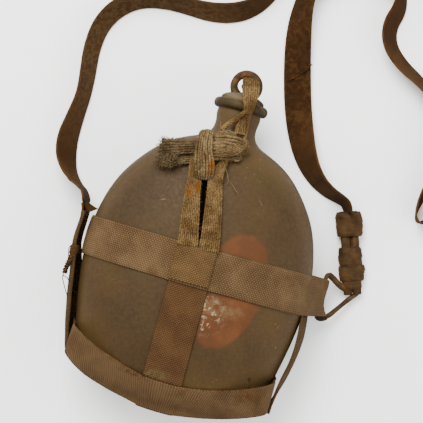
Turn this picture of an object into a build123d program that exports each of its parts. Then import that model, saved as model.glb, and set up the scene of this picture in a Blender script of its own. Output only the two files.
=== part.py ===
from build123d import *
from functools import lru_cache
import math
import os

# An aluminium field canteen in a cotton web harness, lying on its back.
# Millimetres.  +X is across the flask, +Y runs along the flask towards the neck,
# +Z points up, out of the flask's front.  The origin is on the resting face of the
# back strap, under the middle of the belt.

# --- Flask -----------------------------------------------------------------
AXIS_X = 1.5           # the flask sits a little to the right in its harness
AXIS_Z = 39.6          # height of the neck's axis above the resting face
WALL = 1.2             # sheet thickness of the flask
NECK_TOP = 112.0
NECK_RADIUS = 15.0
# Along the axis: position, half width, rise of the front, drop of the back.
STATIONS = [
    (-105.0, 9.0, 6.0, 5.5),
    (-104.0, 22.0, 13.0, 12.0),
    (-101.0, 38.0, 20.5, 19.0),
    (-95.5, 53.5, 26.5, 24.5),
    (-87.0, 63.8, 31.2, 29.2),
    (-75.0, 69.2, 34.8, 33.2),
    (-58.0, 73.2, 37.8, 36.0),
    (-38.0, 77.0, 39.4, 36.6),
    (-14.0, 79.8, 40.0, 36.6),
    (10.0, 79.3, 39.8, 36.6),
    (30.0, 75.4, 38.4, 36.2),
    (48.0, 68.2, 35.8, 34.2),
    (62.0, 58.7, 32.2, 31.0),
    (73.0, 48.6, 28.0, 27.0),
    (80.5, 38.5, 23.8, 23.0),
    (86.0, 27.0, 19.3, 19.0),
    (90.0, 19.0, 16.4, 16.3),
    (95.0, 15.3, 15.1, 15.1),
    (103.0, NECK_RADIUS, NECK_RADIUS, NECK_RADIUS),
    (NECK_TOP, NECK_RADIUS, NECK_RADIUS, NECK_RADIUS),
]
BELT_SECTION = STATIONS[8][1:]       # the widest station, where the belt sits
BASE_START = -87.0                   # the base rounds over from here to the end
BASE_END = STATIONS[0][0]
LIP_BEAD = 1.1                       # radius of the rolled bead at the mouth

# --- Webbing ---------------------------------------------------------------
WEB = 1.6              # thickness of the webbing
WEB_WIDTH = 27.5       # width of belt, straps and band
UNDER = 0.1            # gap of a layer that lies on the flask
OVER = UNDER + WEB + 0.05            # gap of a layer that lies over another
STRAP_X = -1.6         # middle of the vertical straps
BACK_STRAP_TOP = 32.0
LEFT_ROUTE = [(-84.6, 15.8), (-84.6, -13), (-79.4, -40), (-76.6, -60), (-74.2, -74), (-71.6, -85)]
RIGHT_ROUTE = [(85.0, -14.3), (85.2, -36), (83.4, -50), (80.2, -66), (77.0, -77), (72.8, -86)]
RING_X, RING_Z = 93.0, 16.0          # the ring's hidden side, in the belt's end
RING_WIRE = 1.9                      # radius of the ring's cord

# --- Stopper ---------------------------------------------------------------
CAP_UNDERSIDE = NECK_TOP + 0.3
CAP_RADIUS = 19.0
STEM_RADIUS = 3.0
CORK_BOTTOM = 94.0
CORK_CLEARANCE = 0.06
EYE_WIRE = 2.5         # radius of the eye's round section
EYE_RADIUS = 8.9
EYE_Y = 128.6

# --- Tapes and knot --------------------------------------------------------
TAPE_THICKNESS = 1.3
TAPE_X, TAPE_WIDTH, TAPE_PLY = 2.2, 8.4, 1.8     # the tape from the knot to the eye
TAPE_SPLIT = 104.0     # the tape below this stays with the flask
KNOT_TURN = 15.2       # degrees that the knot's bundle leans across the flask

# --- Strap end -------------------------------------------------------------
STRAP_END = (114.4, 9.9, 5.6)        # middle of the ring's short side
STRAP_END_TURN = 18.0                # degrees, from +Y towards -X
PLY = 1.8
FOLD_WIDTH = 12.3
KEEPER_GAP = 0.3

# --- Shoulder strap --------------------------------------------------------
# A round tube with the area of the strap's section, along its middle.
STRAP_SECTION = 20.0 * 1.5
TUBE_RADIUS = math.sqrt(STRAP_SECTION / math.pi)
STRAP_ROUTE = [
    (-86.8, 17.5, 35.5), (-88.2, 24.0, 31.0), (-93.0, 29.0, 24.0), (-100.0, 33.0, 16.5),
    (-107.0, 39.5, 11.0), (-112.0, 49.0, 7.5), (-114.4, 62.0, 5.0), (-112.8, 78.0, 4.8),
    (-110.8, 95.0, 7.0), (-112.2, 112.0, 8.8), (-114.0, 129.0, 9.0), (-111.0, 146.5, 7.5),
    (-102.5, 161.5, 5.6), (-89.0, 172.5, 4.5), (-72.0, 179.0, 4.0), (-54.0, 180.2, 3.6),
    (-36.0, 178.5, 3.6), (-19.0, 181.5, 4.0), (-6.0, 190.5, 5.0), (2.5, 204.0, 7.0),
    (9.0, 221.0, 8.5), (23.0, 237.0, 9.0), (44.0, 247.0, 9.0), (69.0, 250.0, 9.0),
    (95.0, 244.0, 9.0), (118.0, 229.0, 9.0), (136.0, 207.0, 9.0), (149.0, 182.0, 9.0),
    (158.0, 155.0, 9.0), (162.0, 129.0, 9.0), (161.5, 107.0, 9.0), (158.5, 90.0, 9.0),
    (155.4, 78.0, 9.0), (153.0, 71.0, 9.0), (147.0, 68.6, 9.0), (143.6, 74.8, 9.0),
    (145.0, 87.0, 9.0), (148.5, 104.0, 9.0), (150.5, 123.0, 9.0), (147.0, 142.0, 9.0),
    (137.0, 158.0, 9.0), (122.0, 168.5, 9.0), (106.0, 176.5, 9.0), (94.0, 188.0, 9.0),
    (90.0, 202.0, 9.0), (91.5, 216.0, 9.0), (86.0, 229.0, 9.0), (71.0, 236.5, 9.0),
    (52.0, 236.0, 8.5), (35.0, 227.5, 7.5), (26.5, 212.0, 6.0), (26.0, 193.0, 4.5),
    (29.5, 172.0, 3.6), (35.0, 150.0, 3.6), (41.5, 128.0, 3.6), (49.0, 108.5, 3.6),
    (57.5, 92.0, 3.8), (67.5, 80.5, 4.6), (78.3, 73.8, 5.4), (87.8, 71.0, 5.6),
    (94.7, 70.2, 5.6), (96.6, 64.65, 5.6),
]


def section_point(size, angle):
    """A point of the flask's section: an ellipse in front, a flatter curve behind."""
    half_width, rise, drop = size
    flatness = 2.0 + 0.6 * (half_width - NECK_RADIUS) / (BELT_SECTION[0] - NECK_RADIUS)
    power = 1.0 if angle <= math.pi else 2.0 / max(flatness, 2.0)
    cosine, sine = math.cos(angle), math.sin(angle)
    across = half_width * math.copysign(abs(cosine) ** power, cosine)
    depth = (rise if sine > 0 else drop) * math.copysign(abs(sine) ** power, sine)
    return AXIS_X + across, depth


def grown(size, extra):
    """A station's size, larger all round."""
    return tuple(length + extra for length in size)


@lru_cache(maxsize=None)
def body(extra=0.0, top=0.0):
    """The flask's outer form, grown outwards by extra, with its neck made longer by top."""
    sections = []
    for station, *size in STATIONS:
        past_base = max(0.0, (BASE_START - station) / (BASE_START - BASE_END))
        along = station - extra * past_base + (top if station == NECK_TOP else 0.0)
        points = [section_point(grown(size, extra), math.tau * i / 24) for i in range(24)]
        outline = Spline(*[(x, along, AXIS_Z + z) for x, z in points], periodic=True)
        sections.append(Face(Wire([outline])))
    return loft(sections)


@lru_cache(maxsize=None)
def sheath(gap, thickness):
    """A skin of even thickness round the whole flask, at a gap from it."""
    return body(gap + thickness) - body(gap)


def box(low, high):
    """A box between two opposite corners."""
    size = [b - a for a, b in zip(low, high)]
    return Pos(*low) * Box(*size, align=(Align.MIN, Align.MIN, Align.MIN))


def turned(points):
    """A ring or disc turned about the neck's axis, from (radius, y) points."""
    return Pos(AXIS_X, 0, AXIS_Z) * revolve(make_face(Polyline(*points, close=True)), Axis.Y)


def strip(points, radius, thickness, width):
    """A flat strip whose edge follows runs and arcs in the XY plane, centred on it."""
    return extrude(trace(FilletPolyline(*points, radius=radius), thickness), width / 2, both=True)


def pillow(size, rounding):
    """A block of cloth with rounded edges, centred on the origin."""
    block = Box(*size)
    return fillet(block.edges(), rounding)


# --- Flask and stopper -----------------------------------------------------

def flask_shell():
    """The flask's sheet, with a rolled bead round the mouth."""
    middle = NECK_RADIUS - WALL / 2
    bead = turned([(middle, NECK_TOP - 2.4 * LIP_BEAD), (NECK_RADIUS + LIP_BEAD, NECK_TOP - 1.7 * LIP_BEAD),
                   (NECK_RADIUS + LIP_BEAD, NECK_TOP - 0.9 * LIP_BEAD), (middle, NECK_TOP - 0.3)])
    return (body() - body(-WALL, top=1.0)) + bead


def stopper_eye():
    """A cast loop on a stem that runs through the cap and the cork."""
    stem = turned([(0, 91.2), (STEM_RADIUS, 91.2), (STEM_RADIUS, 119.4), (0, 119.4)])
    return Pos(AXIS_X, EYE_Y, AXIS_Z) * Torus(EYE_RADIUS, EYE_WIRE) + stem


def stopper_cap(eye):
    """A domed cap with a rolled rim, cast round the eye's legs."""
    profile = [(STEM_RADIUS, CAP_UNDERSIDE), (CAP_RADIUS - 1, CAP_UNDERSIDE), (CAP_RADIUS, 113.5),
               (CAP_RADIUS, 115.4), (CAP_RADIUS - 1, 116.5), (16.0, 117.0), (15.0, 119.2),
               (13.2, 120.8), (9.0, 122.2), (STEM_RADIUS, 122.7)]
    return turned(profile) - eye


def stopper_cork():
    """A cork with a tapered foot, a light fit in the neck."""
    bore = NECK_RADIUS - WALL
    return turned([(STEM_RADIUS, CORK_BOTTOM), (bore - 1.2, CORK_BOTTOM),
                   (bore - CORK_CLEARANCE, CORK_BOTTOM + 9), (bore - CORK_CLEARANCE, CAP_UNDERSIDE),
                   (STEM_RADIUS, CAP_UNDERSIDE)])


def stopper_washer():
    """The plate that clamps the cork from below."""
    return turned([(STEM_RADIUS, CORK_BOTTOM - 1.2), (9.5, CORK_BOTTOM - 1.2),
                   (9.5, CORK_BOTTOM), (STEM_RADIUS, CORK_BOTTOM)])


def stopper_burr():
    """The burr that the stem's end is peened over."""
    return turned([(STEM_RADIUS, 90.8), (4.2, 90.8), (5.4, 91.7), (5.4, CORK_BOTTOM - 1.2),
                   (STEM_RADIUS, CORK_BOTTOM - 1.2)])


def stopper_tape():
    """The tape's upper run: over the cap's rim and back through the eye."""
    route = [(TAPE_SPLIT + 0.3, 60.4), (118.0, 60.2), (123.0, 53.5), (EYE_Y, 45.5), (EYE_Y + 0.2, 34.0)]
    return Pos(TAPE_X, 0, 0) * Plane.YZ.location * strip(route, 2.4, TAPE_PLY, TAPE_WIDTH)


def tape_end_knot():
    """The stopper tape's end, knotted behind the eye."""
    return Pos(TAPE_X, EYE_Y, 30.2) * pillow((12.0, 9.0, 7.4), 2.5)


# --- Harness ---------------------------------------------------------------

@lru_cache(maxsize=None)
def belt():
    """A closed loop of webbing round the flask, drawn out to an end that holds the ring."""
    outlines = []
    for growth in (0.0, WEB):
        radius = 2.3 + growth
        tip = CenterArc((RING_X, RING_Z), radius, -80, 104)
        angles = [math.radians(13 + 286 * i / 20) for i in range(21)]
        front, back = grown(BELT_SECTION, OVER + growth), grown(BELT_SECTION, UNDER + growth)
        points = [section_point(front if a < math.pi else (front[0], back[1], back[2]), a) for a in angles]
        around = Spline(*[(x, AXIS_Z + z) for x, z in points])
        outlines.append(make_face([tip, Line(tip @ 1, around @ 0), around, Line(around @ 1, tip @ 0)]))
    loop = extrude(Plane.XZ.location * (outlines[1] - outlines[0]), WEB_WIDTH / 2, both=True)
    for side in (-1, 1):
        loop -= Pos(RING_X, side * (11 + 5), RING_Z) * Box(9, 10, 12)
    return loop


def vertical_strap():
    """From under the belt in front, down under the band and round the base."""
    left, right = STRAP_X - WEB_WIDTH / 2, STRAP_X + WEB_WIDTH / 2
    front = box((left, -120, AXIS_Z), (right, 13.4, 90))
    behind = box((left, -120, -10), (right, -70, AXIS_Z))
    return sheath(UNDER, WEB) & (front + behind)


def back_strap():
    """The strap the canteen rests on, pressed flat by its weight."""
    left, right = STRAP_X - WEB_WIDTH / 2, STRAP_X + WEB_WIDTH / 2
    return sheath(OVER, WEB) & box((left, -81.5, 0), (right, BACK_STRAP_TOP, 20))


def bottom_band():
    """The hoop round the lower end of the flask, drooping at the middle."""
    upper = ThreePointArc((-95, -40), (0, -82.5), (95, -45))
    lower = ThreePointArc((-95, -70), (0, -101.5), (95, -75))
    sides = [Line(upper @ 0, lower @ 0), Line(upper @ 1, lower @ 1)]
    return sheath(OVER, WEB) & extrude(make_face([upper, lower] + sides), 90)


def side_strap(points):
    """A strap on edge beside the flask, from the belt to the band's end."""
    return Pos(0, 0, 38) * strip(points, 20, WEB, 26)


def strap_anchor():
    """The shoulder strap's turned end, sewn over the left side strap."""
    return Pos(-86.3, 8.0, 37.0) * Box(1.6, 16, 20)


def whipping():
    """Thread wound round the sewn end."""
    turns = Pos(-88.7, -9.5, 45) * Rot(90, 0, 0) * Cylinder(1.7, 8)
    return turns - side_strap(LEFT_ROUTE) - box((-88, -10, 0), (-80, 30, 90))


def repair_cord():
    """A short twisted cord that hangs from the whipping."""
    run = FilletPolyline((-88.7, -14.1, 45), (-88.8, -20, 44), (-87.6, -26, 42), (-87.4, -32, 41), radius=4)
    return sweep(Plane(run @ 0, z_dir=run % 0) * Circle(1.2), path=run)


# --- Tapes and knot --------------------------------------------------------

def tape_patch():
    """The tapes' joined lower end, sewn to the front of the belt."""
    region = box((-16.2, -12.5, AXIS_Z), (11.2, 13.0, 95))
    return (sheath(OVER + WEB, TAPE_THICKNESS) & region) - belt()


def tie_tape(bottom, top, half_width):
    """One of the two tapes that run up the flask from the belt to the knot."""
    corners = [(bottom[0] - half_width, bottom[1]), (bottom[0] + half_width, bottom[1]),
               (top[0] + half_width, top[1]), (top[0] - half_width, top[1])]
    region = Pos(0, 0, AXIS_Z) * extrude(make_face(Polyline(*corners, close=True)), 60)
    return sheath(UNDER, TAPE_THICKNESS) & region


def knot_place(x, y, z, tilt=-24):
    """A place on the flask's shoulder, turned to lie along the knot."""
    return Pos(x, y, z) * Rot(0, 0, KNOT_TURN) * Rot(tilt, 0, 0)


def knot_loop():
    """The bight that closes round the bundle."""
    loop = pillow((12.6, 31, 15.4), 3) - pillow((22, 27, 11.6), 2.5)
    return knot_place(-14.6, 74.8, 71.5) * loop - body(UNDER)


def knot_bundle():
    """The turns of tape that the bight holds."""
    return knot_place(-13.6, 75.0, 71.5) * pillow((33, 21, 9.8), 3.5) - body(UNDER)


def tie_tail():
    """The frayed tail that points left."""
    return knot_place(-38.6, 70.0, 66.5, -18) * pillow((17, 19, 10), 4) - body(UNDER)


def tape_clump():
    """The folded tape to the right of the bight."""
    return knot_place(7.9, 85.0, 66.2) * pillow((9.6, 21, 10), 3) - body(UNDER)


def tape_riser():
    """The tape's lower run, from the knot up to the neck."""
    route = [(92.0, 66.0), (97.0, 62.6), (TAPE_SPLIT, 60.5)]
    riser = Pos(TAPE_X, 0, 0) * Plane.YZ.location * strip(route, 6, TAPE_PLY, 11)
    return riser - tape_clump() - knot_bundle() - knot_loop()


# --- Ring and strap end ----------------------------------------------------

def belt_ring():
    """A loop of round cord through the belt's end and the strap's fold."""
    corners = [(RING_X, 16.5, RING_Z), (102.3, 10.4, 11.0), (109.8, 8.2, 5.6), (119.2, 11.4, 5.6),
               (120.7, 4.6, 5.6), (101.0, -13.8, 11.4), (RING_X, -15.5, RING_Z)]
    ring = Part()
    for corner, following in zip(corners, corners[1:] + corners[:1]):
        run = Vector(*following) - Vector(*corner)
        align = (Align.CENTER, Align.CENTER, Align.MIN)
        ring += Plane(origin=corner, z_dir=run) * Cylinder(RING_WIRE, run.length, align=align)
        ring += Pos(*corner) * Sphere(RING_WIRE)
    return ring


def at_strap_end(shape):
    """Puts a shape made along +Y where the strap ends at the ring."""
    return Pos(*STRAP_END) * Rot(0, 0, STRAP_END_TURN) * shape


def strap_fold():
    """The strap's end, folded round the ring and back up to the shoulder strap."""
    route = [(57.5, 3.15), (-3.15, 3.15), (-3.15, -3.15), (57.5, -3.15)]
    fold = Plane.YZ.location * strip(route, 3.1, PLY, FOLD_WIDTH)
    for side in (-1, 1):
        fold -= Pos(side * 8.1, 0, 0) * Box(10, 13, 10)
    return at_strap_end(fold)


def keeper(start, length, width, gap=0.15):
    """A flat loop of webbing round the strap's fold."""
    thick = PLY + 2 * 3.15
    outer = fillet(Box(width, length, 11.2).edges().filter_by(Axis.Y), 3)
    hole = Box(FOLD_WIDTH + 2 * gap, length + 1, thick + 2 * gap)
    return at_strap_end(Pos(0, start + length / 2, 0) * (outer - hole))


# --- Shoulder strap --------------------------------------------------------

def corner_radii(points):
    """As large an arc at each corner as its two runs allow."""
    radii = []
    for before, corner, after in zip(points, points[1:], points[2:]):
        run_in, run_out = Vector(*corner) - Vector(*before), Vector(*after) - Vector(*corner)
        half_turn = math.radians(run_in.get_angle(run_out)) / 2
        radii.append(0.45 * min(run_in.length, run_out.length) / math.tan(half_turn))
    return radii


def shoulder_strap():
    """The long strap, from the sewn end round to the strap's fold."""
    radii = corner_radii(STRAP_ROUTE)
    path = FilletPolyline(*STRAP_ROUTE, radius=radii)
    tube = sweep(Plane(path @ 0, z_dir=path % 0) * Circle(TUBE_RADIUS), path=path)
    print("strap radii", [round(r, 1) for r in radii])
    print("strap length", round(path.length, 1), "volume ratio",
          round(tube.volume / (STRAP_SECTION * path.length), 4))
    return tube


def main():
    os.makedirs("parts", exist_ok=True)
    eye = stopper_eye()
    parts = {
        "flask_shell": flask_shell(),
        "stopper_cap": stopper_cap(eye),
        "stopper_eye": eye,
        "stopper_cork": stopper_cork(),
        "stopper_washer": stopper_washer(),
        "stopper_burr": stopper_burr(),
        "stopper_tape": stopper_tape(),
        "tape_end_knot": tape_end_knot(),
        "belt": belt(),
        "vertical_strap": vertical_strap(),
        "back_strap": back_strap(),
        "bottom_band": bottom_band(),
        "left_side_strap": side_strap(LEFT_ROUTE),
        "right_side_strap": side_strap(RIGHT_ROUTE),
        "strap_anchor": strap_anchor(),
        "anchor_whipping": whipping(),
        "repair_cord": repair_cord(),
        "tape_patch": tape_patch(),
        "tie_tape_left": tie_tape((-9.4, 14.2), (-15.4, 57.0), 5.4),
        "tie_tape_right": tie_tape((4.4, 14.2), (-2.4, 58.5), 6.2),
        "knot_loop": knot_loop(),
        "knot_bundle": knot_bundle(),
        "tie_tail": tie_tail(),
        "tape_clump": tape_clump(),
        "tape_riser": tape_riser(),
        "belt_ring": belt_ring(),
        "strap_fold": strap_fold(),
        "lower_keeper": keeper(4.8, 12.4, 17.2),
        "middle_keeper": keeper(17.5, 13.0, 17.0),
        "sliding_keeper": keeper(38.6, 18.0, 18.2, KEEPER_GAP),
        "shoulder_strap": shoulder_strap(),
    }
    for name, shape in parts.items():
        export_step(shape, f"parts/{name}.step")


if __name__ == "__main__":
    main()
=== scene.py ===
import math
import random

import bpy
from mathutils import Matrix, Vector, noise
from mathutils.bvhtree import BVHTree


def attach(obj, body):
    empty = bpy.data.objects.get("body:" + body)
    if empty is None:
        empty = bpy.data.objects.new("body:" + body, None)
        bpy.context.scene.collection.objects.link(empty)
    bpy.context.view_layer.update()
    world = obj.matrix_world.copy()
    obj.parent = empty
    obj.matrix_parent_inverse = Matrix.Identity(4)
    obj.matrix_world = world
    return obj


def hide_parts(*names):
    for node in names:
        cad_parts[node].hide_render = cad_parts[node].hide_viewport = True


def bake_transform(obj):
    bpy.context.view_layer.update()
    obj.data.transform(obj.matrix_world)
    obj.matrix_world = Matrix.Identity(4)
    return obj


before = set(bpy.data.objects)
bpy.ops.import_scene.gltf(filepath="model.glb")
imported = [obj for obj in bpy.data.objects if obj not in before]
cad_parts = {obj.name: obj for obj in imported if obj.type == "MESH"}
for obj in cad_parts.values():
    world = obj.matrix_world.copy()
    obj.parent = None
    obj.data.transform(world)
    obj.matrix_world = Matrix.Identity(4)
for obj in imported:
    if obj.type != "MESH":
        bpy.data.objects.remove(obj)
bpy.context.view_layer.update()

# A field canteen in a cotton web harness, lying on its back.  Metres, in the CAD's frame.
MM = 0.001
AXIS_X = 1.5 * MM                        # the neck's axis, across the harness
AXIS_Z = 39.6 * MM                       # and its height
AXIS = Vector((AXIS_X, 0, AXIS_Z))
UP = Vector((0, 0, 1))
EVENLY = Vector((1, 1, 1))
WEB = 27.5 * MM                          # width of the harness webbing
HALF_WEB = WEB / 2
WEB_THICK = 1.5 * MM
# Places across a strip, from edge to edge, closer together where the edges are round.
HALF_ACROSS = [0.18, 0.36, 0.54, 0.72, 0.86, 0.94, 0.985, 1]
ACROSS = [-s for s in reversed(HALF_ACROSS)] + [0] + HALF_ACROSS
RNG = random.Random(31)


def at(x, y, z):
    """A point from its millimetres."""
    return Vector((x, y, z)) * MM


# --- Materials ---------------------------------------------------------------
GAIN = 0.27                              # colours are darker and stronger, to suit the bright light
STRENGTH = 1.08


def linear(value):
    value /= 255
    if value <= 0.04045:
        return GAIN * value / 12.92
    return GAIN * ((value + 0.055) / 1.055) ** 2.4


def srgb(red, green, blue):
    """A linear colour from display values of 0 to 255."""
    values = [linear(v) for v in (red, green, blue)]
    grey = sum(values) / 3
    return *(max(0.0, grey + (v - grey) * STRENGTH) for v in values), 1.0


class Paint:
    """A node material, built up one node at a time; colour is its base colour so far."""

    def __init__(self, name, roughness=0.8):
        self.material = bpy.data.materials.new(name)
        self.material.use_nodes = True
        self.tree = self.material.node_tree
        self.shader = self.tree.nodes["Principled BSDF"]
        self.colour = None
        self.set("Roughness", roughness)

    def set(self, socket, value):
        self.wire(self.shader.inputs[socket], value)

    def wire(self, socket, value):
        if isinstance(value, bpy.types.NodeSocket):
            self.tree.links.new(value, socket)
        else:
            socket.default_value = value

    def node(self, kind, values, out=0, **settings):
        """A new node's output; values go to its inputs, by number or by name."""
        node = self.tree.nodes.new("ShaderNode" + kind)
        for key, value in settings.items():
            setattr(node, key, value)
        for key, value in (values.items() if isinstance(values, dict) else enumerate(values)):
            self.wire(node.inputs[key], value)
        return node.outputs[out]

    def math(self, operation, *values):
        return self.node("Math", values, operation=operation)

    def times(self, a, b):
        return self.math("MULTIPLY", a, b)

    def mix(self, amount, low, high):
        return self.node("Mix", {0: amount, 6: low, 7: high}, 2, data_type="RGBA")

    def step(self, value, low, high, start=0.0, end=1.0):
        """A smooth step from start to end as value goes from low to high."""
        return self.node("MapRange", {"Value": value, "From Min": low, "From Max": high, "To Min": start,
                                      "To Max": end}, interpolation_type="SMOOTHSTEP")

    def place(self):
        return self.node("TexCoord", (), 3)

    def turned(self, angle, centre=(0, 0, 0)):
        """The place turned about an upright line."""
        values = {"Vector": self.place(), "Center": centre, "Angle": angle}
        return self.node("VectorRotate", values, rotation_type="Z_AXIS")

    def uv(self):
        """The cloth's own coordinates, in metres: along it and across it."""
        split = self.tree.nodes.new("ShaderNodeSeparateXYZ")
        self.tree.links.new(self.node("TexCoord", (), 2), split.inputs[0])
        return split.outputs[0], split.outputs[1]

    def noise(self, scale, detail=4, roughness=0.55, vector=None, stretch=(1, 1, 1)):
        """Fractal noise; scale is in features to the metre."""
        place = self.node("VectorMath", (vector or self.place(), stretch), operation="MULTIPLY")
        return self.node("TexNoise", {"Vector": place, "Scale": scale, "Detail": detail,
                                      "Roughness": roughness})

    def patches(self, noise_values, *limits):
        """Noise with its contrast raised by a smooth step."""
        return self.step(self.noise(*noise_values), *limits)

    def blob(self, place, centre, radii):
        """0 at the middle of an ellipsoid, 1 at its surface and more outside."""
        offset = self.node("VectorMath", (place, centre), operation="SUBTRACT")
        offset = self.node("VectorMath", (offset, tuple(1 / r for r in radii)), operation="MULTIPLY")
        return self.node("VectorMath", (offset,), 1, operation="LENGTH")

    def spot(self, centre, radii, *limits):
        """A soft ellipsoid at a place."""
        return self.step(self.blob(self.place(), centre, radii), *limits)

    def base(self, amount, dark, light):
        self.colour = self.mix(amount, srgb(*dark), srgb(*light))

    def cover(self, amount, tint, strength=1.0):
        """Lays a tint over the colour so far."""
        self.colour = self.mix(self.times(amount, strength), self.colour, srgb(*tint))

    def bump(self, height, depth):
        """Relief of a real depth in metres."""
        self.set("Normal", self.node("Bump", {"Strength": 1.0, "Distance": depth, "Height": height}))

    def finish(self):
        self.set("Base Color", self.colour)
        return self.material


def paint_disc(paint):
    """A red disc, half worn off, with dust and bare metal at its middle; returns the bare metal."""
    middle = (0.0266, -0.0108, 0.08)
    ragged = paint.math("MULTIPLY_ADD", paint.noise(130, 6, 0.6), 0.12, -0.06)
    disc = paint.math("ADD", paint.blob(paint.turned(0.14, middle), middle, (0.0232, 0.0406, 0.05)), ragged)
    left = paint.times(paint.step(disc, 1.04, 0.92), paint.patches((90, 7, 0.7), 0.6, 0.5, 0.72, 1.0))
    red = paint.mix(paint.patches((60,), 0.35, 0.7), srgb(122, 72, 36), srgb(146, 86, 46))
    paint.colour = paint.mix(paint.times(left, 0.88), paint.colour, red)
    grey = paint.spot((0.021, -0.0235, 0.08), (0.019, 0.0065, 0.05), 1.25, 0.6)
    paint.cover(paint.times(grey, paint.patches((240, 5, 0.7), 0.38, 0.6)), (156, 128, 88), 0.6)
    bare = paint.spot((0.0145, -0.0305, 0.08), (0.0145, 0.0145, 0.05), 1.15, 0.35)
    bare = paint.times(bare, paint.patches((260, 4, 0.6), 0.5, 0.56))
    flakes = paint.node("TexVoronoi", {"Vector": paint.place(), "Scale": 420.0})
    bare = paint.times(bare, paint.step(flakes, 0.75, 0.35))
    paint.cover(bare, (226, 210, 172))
    return bare


def scratches(paint):
    """Thin lines in three directions."""
    marks = 0.0
    for turn, scale in ((0.35, 70.0), (1.25, 95.0), (-0.6, 120.0)):
        turned = paint.turned(turn)
        thin = paint.patches((scale, 2, 0.5, turned, (7, 0.9, 1)), 0.735, 0.75)
        thin = paint.times(thin, paint.patches((60, 3, 0.5, turned), 0.5, 0.62))
        marks = paint.math("MAXIMUM", marks, thin)
    return marks


def slit_shade(paint):
    """The dark slit between the two tapes."""
    shade = 0.0
    for x, y in ((-7.8, 59), (-6.2, 48), (-4.6, 37), (-3.4, 26), (-2.6, 18)):
        shade = paint.math("MAXIMUM", shade, paint.spot(at(x, y, 78), (0.0042, 0.0095, 0.03), 1.3, 0.9))
    return shade


def khaki_paint():
    """Old matt paint: dusty and mottled, scratched, with a painted disc worn through to metal and a painted
    highlight at its edges.
    """
    paint = Paint("khaki_paint")
    broad = paint.patches((14, 5), 0.32, 0.68)
    paint.base(broad, (76, 54, 25), (102, 76, 38))
    green = paint.patches((22, 3, 0.55, None, (1, 0.8, 1)), 0.5, 0.7)
    paint.cover(green, (78, 68, 32), 0.35)
    fine = paint.noise(420, 6, 0.6)
    paint.cover(paint.step(fine, 0.3, 0.75, 0.0, 0.3), (114, 90, 48))
    dust = paint.times(paint.patches((750, 3), 0.66, 0.7), paint.step(broad, 0.3, 0.8))
    paint.cover(dust, (176, 146, 98), 0.6)
    # painted highlight: lighter paint towards the flask's rounded edges, outside an ellipse round its middle
    paint.cover(paint.spot((AXIS_X, -0.01, AXIS_Z), (0.078, 0.098, 0.1), 0.9, 1.0), (122, 96, 60), 0.35)
    bare = paint_disc(paint)
    marks = scratches(paint)
    paint.cover(marks, (190, 160, 112), 0.6)
    shade = slit_shade(paint)
    paint.cover(shade, (20, 13, 8))
    for chip in ((0.0555, -0.066, 0.07), (0.057, -0.0725, 0.07)):
        paint.cover(paint.spot(chip, (0.0012, 0.0017, 0.02), 1.3, 0.6, 0.0, 0.8), (48, 34, 22))
    paint.set("Metallic", paint.times(bare, 0.3))
    paint.set("Roughness", paint.step(paint.math("ADD", fine, bare), 0.3, 1.2, 0.68, 0.36))
    paint.set("Specular IOR Level", paint.math("MULTIPLY_ADD", shade, -0.15, 0.15))
    height = paint.math("ADD", paint.noise(900, 5, 0.65), paint.times(paint.noise(70, 2), 2.5))
    paint.bump(paint.math("SUBTRACT", height, paint.times(marks, 0.5)), 0.00006)
    return paint.finish()


def tarnished_aluminium():
    """Dull cast aluminium: brown grime in low places, a paler crown, orange stains on the eye."""
    paint = Paint("tarnished_aluminium")
    grime = paint.patches((160, 5, 0.65), 0.36, 0.64)
    paint.base(grime, (102, 80, 38), (70, 50, 18))
    paint.cover(paint.spot((AXIS_X, 0.1135, AXIS_Z), (0.05, 0.004, 0.05), 1.15, 0.85), (76, 56, 18), 0.75)
    paint.cover(paint.spot((-0.002, 0.1195, 0.052), (0.013, 0.0035, 0.014), 1.3, 0.5), (152, 132, 98), 0.8)
    stain = paint.spot((-0.0035, 0.134, AXIS_Z), (0.008, 0.007, 0.01), 1.2, 0.5)
    paint.cover(paint.times(stain, paint.patches((260,), 0.4, 0.6)), (158, 92, 48), 0.75)
    paint.set("Metallic", paint.step(grime, 0.2, 1.0, 0.12, 0.0))
    paint.set("Specular IOR Level", 0.18)
    paint.set("Roughness", paint.step(grime, 0.0, 1.0, 0.6, 0.8))
    paint.bump(paint.noise(700, 5, 0.65), 0.00014)
    return paint.finish()


def cork_material():
    paint = Paint("cork", 0.85)
    cells = paint.node("TexVoronoi", {"Vector": paint.place(), "Scale": 700.0})
    pits = paint.patches((500, 3), 0.62, 0.7)
    paint.base(paint.step(cells, 0.1, 0.6), (120, 82, 45), (170, 125, 78))
    paint.cover(pits, (58, 36, 20))
    paint.bump(paint.math("SUBTRACT", cells, pits), 0.0003)
    return paint.finish()


def weave(paint, along, across, pitch, column, basket):
    """The height of the cloth: a pick every pitch along it, in columns across it."""
    along = paint.math("ADD", along, paint.math("MULTIPLY_ADD", paint.noise(90, 3), 0.0016, -0.0008))
    turn = paint.times(along, math.tau / pitch)
    if basket:
        column_number = paint.math("FLOOR", paint.math("DIVIDE", across, column))
        turn = paint.math("ADD", turn, paint.times(column_number, math.pi))
    pick = paint.math("MULTIPLY_ADD", paint.math("COSINE", turn), 0.5, 0.5)
    end = paint.math("ABSOLUTE", paint.math("SINE", paint.times(across, math.pi / column)))
    end = paint.math("POWER", end, 0.6 if basket else 0.3)
    return paint.times(paint.math("POWER", pick, 0.7), end)


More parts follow.
